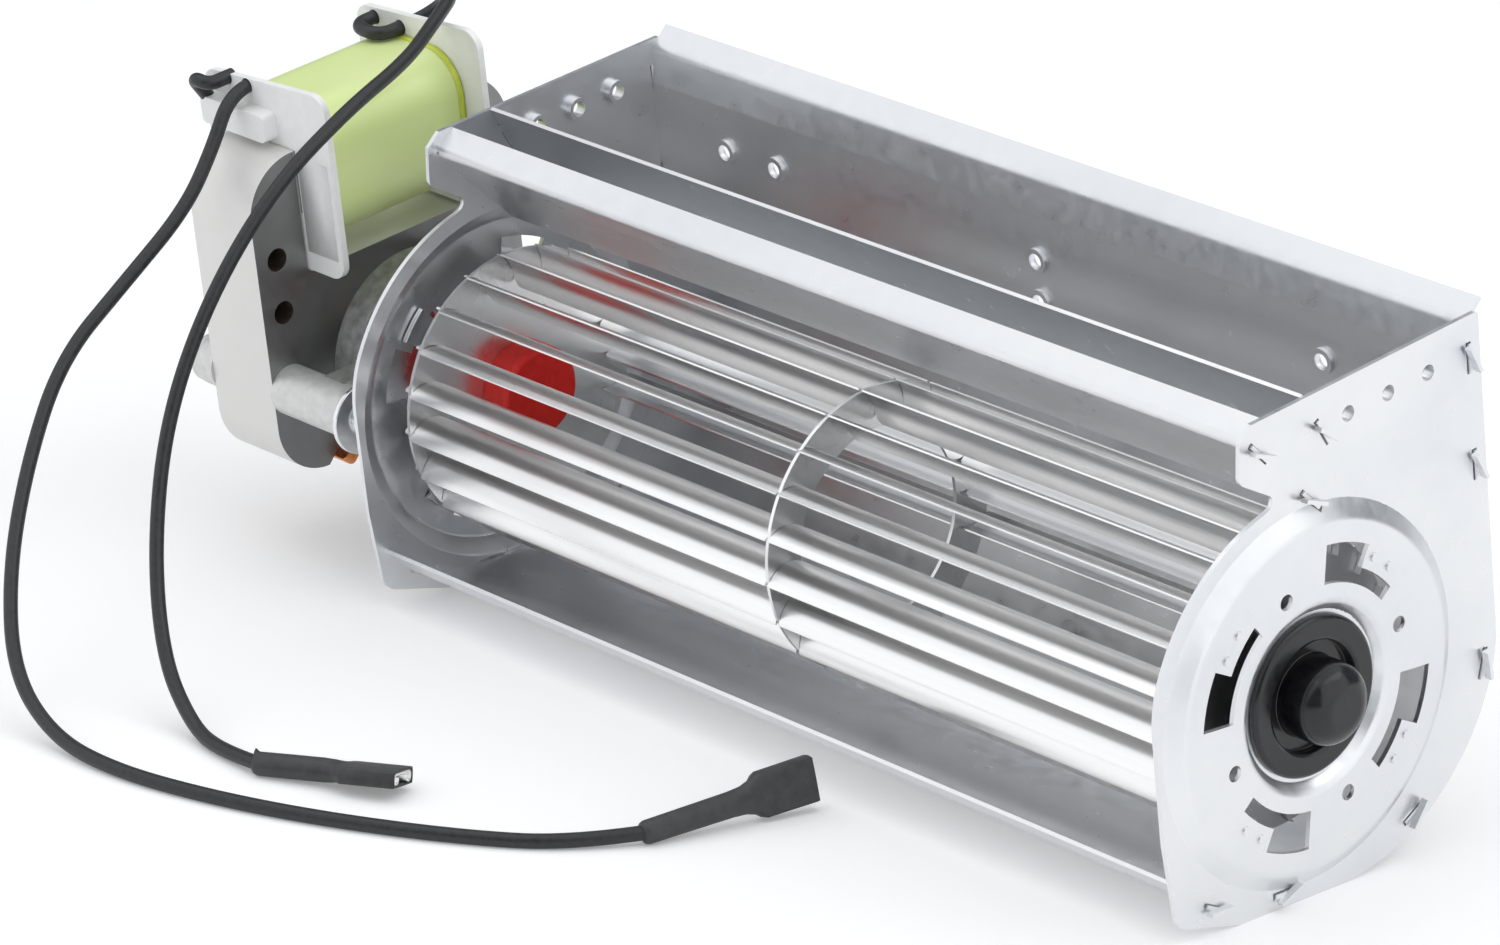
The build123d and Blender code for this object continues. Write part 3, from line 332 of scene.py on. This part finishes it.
lead("front_lead_insulated", front_lead_route)
lead("rear_lead_insulated", rear_lead_route)
for name in ("front_lacing", "rear_lacing"):
    paint(name, black_insulation)


# End plates, scroll and tongue: galvanised sheet, cut and pressed, so their edges are rolled
# over a little. The zinc has a faint spangle and is rubbed brighter in streaks.
flat_turn = 0.4


def dressed(name, material, body, edge, turn=28.0):
    """A copy of a node with merged faces and edges rounded by edge metres."""
    shape = bmesh.new()
    shape.from_mesh(frame["nodes"][name].data)
    for face in shape.faces:
        face.material_index = 0
    bmesh.ops.remove_doubles(shape, verts=shape.verts, dist=weld_distance)
    bmesh.ops.dissolve_limit(shape, angle_limit=radians(flat_turn), verts=shape.verts, edges=shape.edges,
                             delimit={"NORMAL"})
    piece = new_piece(name + "_finished", shape, material, body, name)
    round_edges(piece, edge, turn)
    return piece


galvanised, shader = new_material("galvanised_sheet", (0.77, 0.78, 0.80), 0.94, 0.34)
spangle = grain(galvanised, 300.0, (1.0, 1.0, 1.0), 5.0)
rubbed = grain(galvanised, 26.0, (0.25, 1.0, 1.0), 3.0)
tint(galvanised, rubbed, (0.73, 0.745, 0.77), (0.82, 0.83, 0.84), shader.inputs["Base Color"])
vary(galvanised, spangle, 0.27, 0.42, shader.inputs["Roughness"])
relief(galvanised, spangle, 0.00001, 0.1, shader)
for name in ("bearing_end_plate", "motor_end_plate", "scroll", "tongue"):
    dressed(name, galvanised, "housing", 0.00015)

# Wheel: blades of rolled aluminium, bright from the rolls, with faint streaks along them. The
# rings are punched, and the blades' tabs are crimped in their slots.
aluminium, shader = new_material("bright_aluminium", (0.91, 0.905, 0.90), 1.0, 0.3)
rolled = grain(aluminium, 120.0, (0.02, 5.0, 5.0), 3.0)
vary(aluminium, rolled, 0.27, 0.32, shader.inputs["Roughness"])
tint(aluminium, rolled, (0.88, 0.875, 0.87), (0.94, 0.935, 0.93), shader.inputs["Base Color"])
for name in ("blades_motor_side", "blades_bearing_side"):
    dressed(name, aluminium, "rotor", 0.0001)
punched, shader = new_material("punched_aluminium", (0.88, 0.88, 0.88), 1.0, 0.3)
brushed = grain(punched, 90.0, (1.0, 1.0, 1.0), 2.0)
vary(punched, brushed, 0.25, 0.36, shader.inputs["Roughness"])
tint(punched, brushed, (0.85, 0.85, 0.85), (0.91, 0.91, 0.91), shader.inputs["Base Color"])
for name in ("wheel_disc_motor_side", "wheel_middle_ring", "wheel_disc_bearing_side"):
    dressed(name, punched, "rotor", 0.00015)

# Bearing end: moulded black rubber around a sintered bush, and the wheel's turned steel stub.
# The rubber is glossy from its mould.
rubber, shader = new_material("black_rubber", (0.008, 0.008, 0.009), 0.0, 0.2)
moulded = grain(rubber, 700.0)
vary(rubber, moulded, 0.16, 0.26, shader.inputs["Roughness"])
tint(rubber, moulded, (0.006, 0.006, 0.007), (0.012, 0.012, 0.013), shader.inputs["Base Color"])
dressed("rubber_mount", rubber, "housing", 0.00025)
sintered, shader = new_material("sintered_bronze", (0.34, 0.22, 0.12), 0.85, 0.45)
pores = grain(sintered, 2600.0)
tint(sintered, pores, (0.22, 0.14, 0.08), (0.44, 0.29, 0.16), shader.inputs["Base Color"])
relief(sintered, pores, 0.00003, 0.5, shader)
for name in ("bearing_bush", "motor_bearings"):
    paint(name, sintered)
steel, shader = new_material("ground_steel", (0.62, 0.62, 0.63), 1.0, 0.24)
ground = grain(steel, 240.0, (0.1, 4.0, 4.0))
vary(steel, ground, 0.16, 0.34, shader.inputs["Roughness"])
for name in ("stub_shaft", "motor_shaft"):
    paint(name, steel)

# Hub at the motor's end of the wheel: soft red silicone, moulded over the shaft. It takes
# up the shaft's shake, and its skin is satin.
silicone, shader = new_material("red_silicone", (0.76, 0.012, 0.006), 0.0, 0.38)
soft = grain(silicone, 500.0)
vary(silicone, soft, 0.34, 0.48, shader.inputs["Roughness"])
tint(silicone, soft, (0.70, 0.008, 0.004), (0.82, 0.018, 0.009), shader.inputs["Base Color"])
dressed("shaft_hub", silicone, "rotor", 0.0002)

# Stator: punched steel sheets, stacked half a millimetre each and welded. The cut edges are pale
# and show the layers. The outer sheets are dull grey, painted darker for the shade they stand in,
# and the holes' walls are painted dark brown as shade.
stack, shader = new_material("laminations", (0.40, 0.39, 0.38), 0.7, 0.42)
sheet_pitch = 0.0005
wave_turn = 20.0
place = node(stack, "ShaderNodeTexCoord")
layers = node(stack, "ShaderNodeTexWave", wave_type="BANDS", bands_direction="X",
              Scale=2 * pi / sheet_pitch / wave_turn, Distortion=0.6)
stack.node_tree.links.new(place.outputs["Object"], layers.inputs["Vector"])
facing = node(stack, "ShaderNodeNewGeometry")
split = node(stack, "ShaderNodeSeparateXYZ")
stack.node_tree.links.new(facing.outputs["Normal"], split.inputs["Vector"])
outward = node(stack, "ShaderNodeMath", operation="ABSOLUTE")
stack.node_tree.links.new(split.outputs["X"], outward.inputs[0])
# Faces across the stack get a dark grey that is partly painted shade; the cut edges get a pale grey.
edge_and_face_shade = node(stack, "ShaderNodeValToRGB")
edge_and_face_shade.color_ramp.elements[0].position = 0.3
edge_and_face_shade.color_ramp.elements[1].position = 0.7
edge_and_face_shade.color_ramp.elements[0].color = (0.80, 0.79, 0.77, 1.0)
edge_and_face_shade.color_ramp.elements[1].color = (0.30, 0.30, 0.30, 1.0)
stack.node_tree.links.new(outward.outputs[0], edge_and_face_shade.inputs["Fac"])
stack.node_tree.links.new(edge_and_face_shade.outputs["Color"], shader.inputs["Base Color"])
bare = node(stack, "ShaderNodeMapRange")
bare.inputs["To Min"].default_value = 0.3
bare.inputs["To Max"].default_value = 0.9
stack.node_tree.links.new(outward.outputs[0], bare.inputs["Value"])
stack.node_tree.links.new(bare.outputs["Result"], shader.inputs["Metallic"])
edge_only = node(stack, "ShaderNodeMath", operation="SUBTRACT")
edge_only.inputs[0].default_value = 1.0
stack.node_tree.links.new(outward.outputs[0], edge_only.inputs[1])
lines = node(stack, "ShaderNodeMath", operation="MULTIPLY")
stack.node_tree.links.new(layers.outputs["Fac"], lines.inputs[0])
stack.node_tree.links.new(edge_only.outputs[0], lines.inputs[1])
relief(stack, lines.outputs[0], 0.00003, 0.35, shader)
stack_finish = grain(stack, 300.0)
vary(stack, stack_finish, 0.36, 0.5, shader.inputs["Roughness"])
# Painted shade in the stack's holes: a dark brown for their walls.
hole_painted_shade, shader = new_material("painted_shade_in_holes", (0.05, 0.035, 0.025), 0.2, 0.7)
hole_shade_grain = grain(hole_painted_shade, 1200.0)
tint(hole_painted_shade, hole_shade_grain, (0.03, 0.022, 0.016), (0.08, 0.055, 0.04), shader.inputs["Base Color"])

wheel_axis = Vector(frame["record"]["behaviour"]["joints"][0]["pos_m"])
rest_tilt = radians(7.0)
backward = Vector((0.0, cos(rest_tilt), sin(rest_tilt)))
upward = Vector((0.0, -sin(rest_tilt), cos(rest_tilt)))


def motor_place(x, depth, height):
    """A place by x in the fan's frame, and depth and height from the axis, in millimetres."""
    return Vector((x / 1000, 0, 0)) + wheel_axis + (backward * depth + upward * height) / 1000


stack_hole_radius = 0.0025
stack_hole_depth = 29.5
stack_hole_heights = (17.2, 29.2)
for name in ("stator_frame", "stator_core"):
    piece = dressed(name, stack, "housing", 0.0003)
    # The walls of the holes take the second material, the painted shade.
    piece.data.materials.append(hole_painted_shade)
    holes = [motor_place(0.0, side * stack_hole_depth, height)
             for side in (-1, 1) for height in stack_hole_heights]
    for face in piece.data.polygons:
        flat = Vector((0.0, face.center.y, face.center.z))
        from_hole = min((flat - hole).length for hole in holes)
        if abs(face.normal.x) < 0.1 and from_hole < stack_hole_radius * 1.1:
            face.material_index = 1
paint("rotor_core", stack)
copper, shader = new_material("copper", (0.72, 0.26, 0.09), 1.0, 0.28)
drawn = grain(copper, 400.0)
tint(copper, drawn, (0.62, 0.20, 0.06), (0.86, 0.35, 0.14), shader.inputs["Base Color"])
vary(copper, drawn, 0.2, 0.4, shader.inputs["Roughness"])
dressed("shading_rings", copper, "housing", 0.0004)
paint("winding", copper)
cast_ends, shader = new_material("cast_aluminium", (0.72, 0.72, 0.72), 1.0, 0.5)
cast_grain = grain(cast_ends, 900.0)
vary(cast_ends, cast_grain, 0.42, 0.6, shader.inputs["Roughness"])
paint("rotor_end_rings", cast_ends)

# Coil: a moulded white nylon bobbin, wound full and taped in lime polyester. The tape stands
# up in a curled edge along each flange, and a bare sticker is on the front flange.
nylon, shader = new_material("white_nylon", (0.92, 0.92, 0.91), 0.0, 0.38)
shader.inputs["Subsurface Weight"].default_value = 0.06
shader.inputs["Subsurface Scale"].default_value = 0.001
satin = grain(nylon, 350.0)
vary(nylon, satin, 0.32, 0.46, shader.inputs["Roughness"])
tint(nylon, satin, (0.90, 0.90, 0.89), (0.95, 0.95, 0.94), shader.inputs["Base Color"])
dressed("bobbin", nylon, "housing", 0.0003)
paint("thrust_washers", nylon)
tape, shader = new_material("lime_tape", (0.76, 0.90, 0.38), 0.0, 0.34)
creases = grain(tape, 60.0, (1.0, 0.25, 1.0), 2.0)
tint(tape, creases, (0.71, 0.86, 0.33), (0.81, 0.93, 0.44), shader.inputs["Base Color"])
vary(tape, creases, 0.26, 0.42, shader.inputs["Roughness"])
relief(tape, creases, 0.00012, 0.3, shader)
shader.inputs["Coat Weight"].default_value = 0.3
shader.inputs["Coat Roughness"].default_value = 0.3
dressed("winding_tape", tape, "housing", 0.0004)
tape_rim, shader = new_material("curled_tape", (0.66, 0.74, 0.07), 0.0, 0.3)
rim_creases = grain(tape_rim, 300.0)
tint(tape_rim, rim_creases, (0.58, 0.68, 0.06), (0.74, 0.80, 0.12), shader.inputs["Base Color"])
stack_middle = -129.55
coil_height = 44.0
tape_half_width = 15.2
tape_half_height = 15.1
tape_corner = 9.0
tape_clearance = 1.004
curl_start = 18.5
curl_end = 19.85
curl_flare = 1.022
for name, side in (("tape_curl_rear", 1), ("tape_curl_front", -1)):
    shape = bmesh.new()
    bmesh.ops.create_grid(shape, x_segments=1, y_segments=1, size=1.0)
    bmesh.ops.scale(shape, vec=(tape_half_width, tape_half_height, 1.0), verts=shape.verts)
    bmesh.ops.bevel(shape, geom=shape.verts[:], offset=tape_corner, offset_type="OFFSET", segments=8,
                    profile=0.5, affect="VERTICES", material=-1)
    bmesh.ops.delete(shape, geom=shape.faces[:], context="FACES_ONLY")
    grown = bmesh.ops.extrude_edge_only(shape, edges=shape.edges[:])["geom"]
    raised = new_parts(grown, bmesh.types.BMVert)
    bmesh.ops.translate(shape, vec=(0, 0, 1), verts=raised)
    bmesh.ops.scale(shape, vec=(curl_flare, curl_flare, 1.0), verts=raised)
    for vert in shape.verts:
        depth = side * (curl_end if vert.co.z > 0.5 else curl_start)
        vert.co = motor_place(stack_middle + vert.co.x * tape_clearance, depth,
                              coil_height + vert.co.y * tape_clearance)
    piece = new_piece(name, shape, tape_rim, "housing")
    film = piece.modifiers.new("film", "SOLIDIFY")
    film.thickness = 0.00012
    film.offset = 0.0
sticker, shader = new_material("bare_label", (0.80, 0.80, 0.79), 0.0, 0.35)
sticker_grain = grain(sticker, 500.0)
vary(sticker, sticker_grain, 0.3, 0.4, shader.inputs["Roughness"])
tint(sticker, sticker_grain, (0.78, 0.78, 0.77), (0.82, 0.82, 0.81), shader.inputs["Base Color"])
label_left = -118.9
label_right = -109.2
label_bottom = 28.5
label_top = 50.0
label_face = -21.5
label_proud = 0.06
shape = bmesh.new()
bmesh.ops.create_grid(shape, x_segments=1, y_segments=1, size=0.5)
for vert in shape.verts:
    vert.co = motor_place(label_left + (label_right - label_left) * (vert.co.x + 0.5),
                          label_face - label_proud,
                          label_bottom + (label_top - label_bottom) * (vert.co.y + 0.5))
piece = new_piece("coil_label", shape, sticker, "housing")
foil = piece.modifiers.new("foil", "SOLIDIFY")
foil.thickness = 0.0001
foil.offset = 0.0

# Brackets: die-cast posts and bars, still grey and matte from the die. The shield's sides are
# rougher than the rest and painted darker for the shade that falls in them.
die_cast, shader = new_material("die_cast_zinc", (0.70, 0.70, 0.69), 0.6, 0.5)
cast_skin = grain(die_cast, 520.0)
vary(die_cast, cast_skin, 0.44, 0.6, shader.inputs["Roughness"])
tint(die_cast, cast_skin, (0.64, 0.64, 0.63), (0.76, 0.76, 0.75), shader.inputs["Base Color"])
relief(die_cast, cast_skin, 0.00006, 0.4, shader)
# Painted shade for the shield's sides: a darker grey than the cast skin.
shield_painted_shade, shader = new_material("die_cast_painted_shade", (0.34, 0.34, 0.34), 0.5, 0.55)
shield_shade_grain = grain(shield_painted_shade, 380.0)
tint(shield_painted_shade, shield_shade_grain, (0.24, 0.24, 0.24), (0.44, 0.44, 0.43), shader.inputs["Base Color"])
relief(shield_painted_shade, shield_shade_grain, 0.00008, 0.4, shader)
shield_inside = 0.0190
shield_outside = 0.0222
for name in ("front_bracket", "rear_bracket"):
    piece = dressed(name, die_cast, "housing", 0.0003)
    # The shield's sides take the second material, the painted shade.
    piece.data.materials.append(shield_painted_shade)
    for face in piece.data.polygons:
        from_axis = Vector((0.0, face.center.y - wheel_axis.y, face.center.z - wheel_axis.z)).length
        if shield_inside < from_axis < shield_outside and abs(face.normal.x) < 0.1:
            face.material_index = 1

# Mounting plate and screws: zinc plated steel, the brightest metal on the motor. The screws
# have round pan heads and run through the posts.
plated, shader = new_material("zinc_plated_steel", (0.80, 0.82, 0.84), 1.0, 0.22)
plating = grain(plated, 480.0)
vary(plated, plating, 0.14, 0.28, shader.inputs["Roughness"])
tint(plated, plating, (0.76, 0.78, 0.81), (0.86, 0.87, 0.88), shader.inputs["Base Color"])
dressed("mounting_plate", plated, "housing", 0.0003)
head_seat = -95.55
screw_end = -144.1
screw_outline = [
    (0.0, 2.4), (1.5, 2.36), (2.6, 2.05), (3.2, 1.5), (3.55, 0.7), (3.6, 0.0), (1.9, 0.0),
    (1.9, screw_end - head_seat), (0.0, screw_end - head_seat),
]
screw_spread = 30.3
shape = bmesh.new()
for side in (-1, 1):
    spots = [motor_place(head_seat + along, side * screw_spread, radius)
             for radius, along in screw_outline]
    corners = [bmesh.ops.create_vert(shape, co=spot)["vert"][0] for spot in spots]
    edges = [bmesh.ops.contextual_create(shape, geom=pair)["edges"][0]
             for pair in zip(corners, corners[1:])]
    bmesh.ops.spin(shape, geom=corners + edges, cent=motor_place(head_seat, side * screw_spread, 0.0),
                   axis=(1, 0, 0), dvec=(0, 0, 0), angle=2 * pi, steps=40, use_merge=True,
                   use_duplicate=False)
piece = new_piece("motor_screws_turned", shape, plated, "housing", "motor_screws")
round_edges(piece, 0.00015, 50.0)

# Floor and light: a white floor under three large soft boxes, so that metal shows broad
# pale bands and the fan has a soft shadow under it.
floor_mesh = bpy.data.meshes.new("floor")
shape = bmesh.new()
bmesh.ops.create_circle(shape, cap_ends=True, radius=6.0, segments=96)
shape.to_mesh(floor_mesh)
shape.free()
floor = bpy.data.objects.new("floor", floor_mesh)
bpy.context.collection.objects.link(floor)
floor_paint, shader = new_material("floor", (0.90, 0.90, 0.90), 0.0, 0.9)
tree = floor_paint.node_tree
rays = node(floor_paint, "ShaderNodeLightPath")
seen = node(floor_paint, "ShaderNodeMath", operation="MAXIMUM")
tree.links.new(rays.outputs["Is Camera Ray"], seen.inputs[0])
tree.links.new(rays.outputs["Is Glossy Ray"], seen.inputs[1])
lift = node(floor_paint, "ShaderNodeMath", operation="MULTIPLY")
lift.inputs[1].default_value = 0.2
tree.links.new(seen.outputs[0], lift.inputs[0])
shader.inputs["Emission Color"].default_value = (1.0, 1.0, 1.0, 1.0)
tree.links.new(lift.outputs[0], shader.inputs["Emission Strength"])
floor.data.materials.append(floor_paint)

world = bpy.data.worlds.new("studio")
bpy.context.scene.world = world
world.use_nodes = True
tree = world.node_tree
tree.nodes.clear()
plain = tree.nodes.new("ShaderNodeBackground")
plain.inputs["Color"].default_value = (0.80, 0.84, 0.90, 1.0)
plain.inputs["Strength"].default_value = 0.32
white = tree.nodes.new("ShaderNodeBackground")
white.inputs["Color"].default_value = (1.0, 1.0, 1.0, 1.0)
rays = tree.nodes.new("ShaderNodeLightPath")
mix = tree.nodes.new("ShaderNodeMixShader")
end = tree.nodes.new("ShaderNodeOutputWorld")
tree.links.new(rays.outputs["Is Camera Ray"], mix.inputs["Fac"])
tree.links.new(plain.outputs["Background"], mix.inputs[1])
tree.links.new(white.outputs["Background"], mix.inputs[2])
tree.links.new(mix.outputs["Shader"], end.inputs["Surface"])


def soft_box(name, place, size, power):
    """A square lamp that faces the fan."""
    lamp = bpy.data.lights.new(name, "AREA")
    lamp.shape = "SQUARE"
    lamp.size = size
    lamp.energy = power
    box = bpy.data.objects.new(name, lamp)
    bpy.context.collection.objects.link(box)
    box.location = place
    box.rotation_euler = (camera_aim - Vector(place)).to_track_quat("-Z", "Y").to_euler()


soft_box("box_left", (-1.0, -1.3, 1.2), 3.2, 27.0)
soft_box("box_right", (1.6, 0.3, 0.9), 2.6, 21.0)
soft_box("box_top", (0.1, 0.3, 1.6), 2.4, 14.5)

bpy.context.scene.view_settings.view_transform = "Standard"
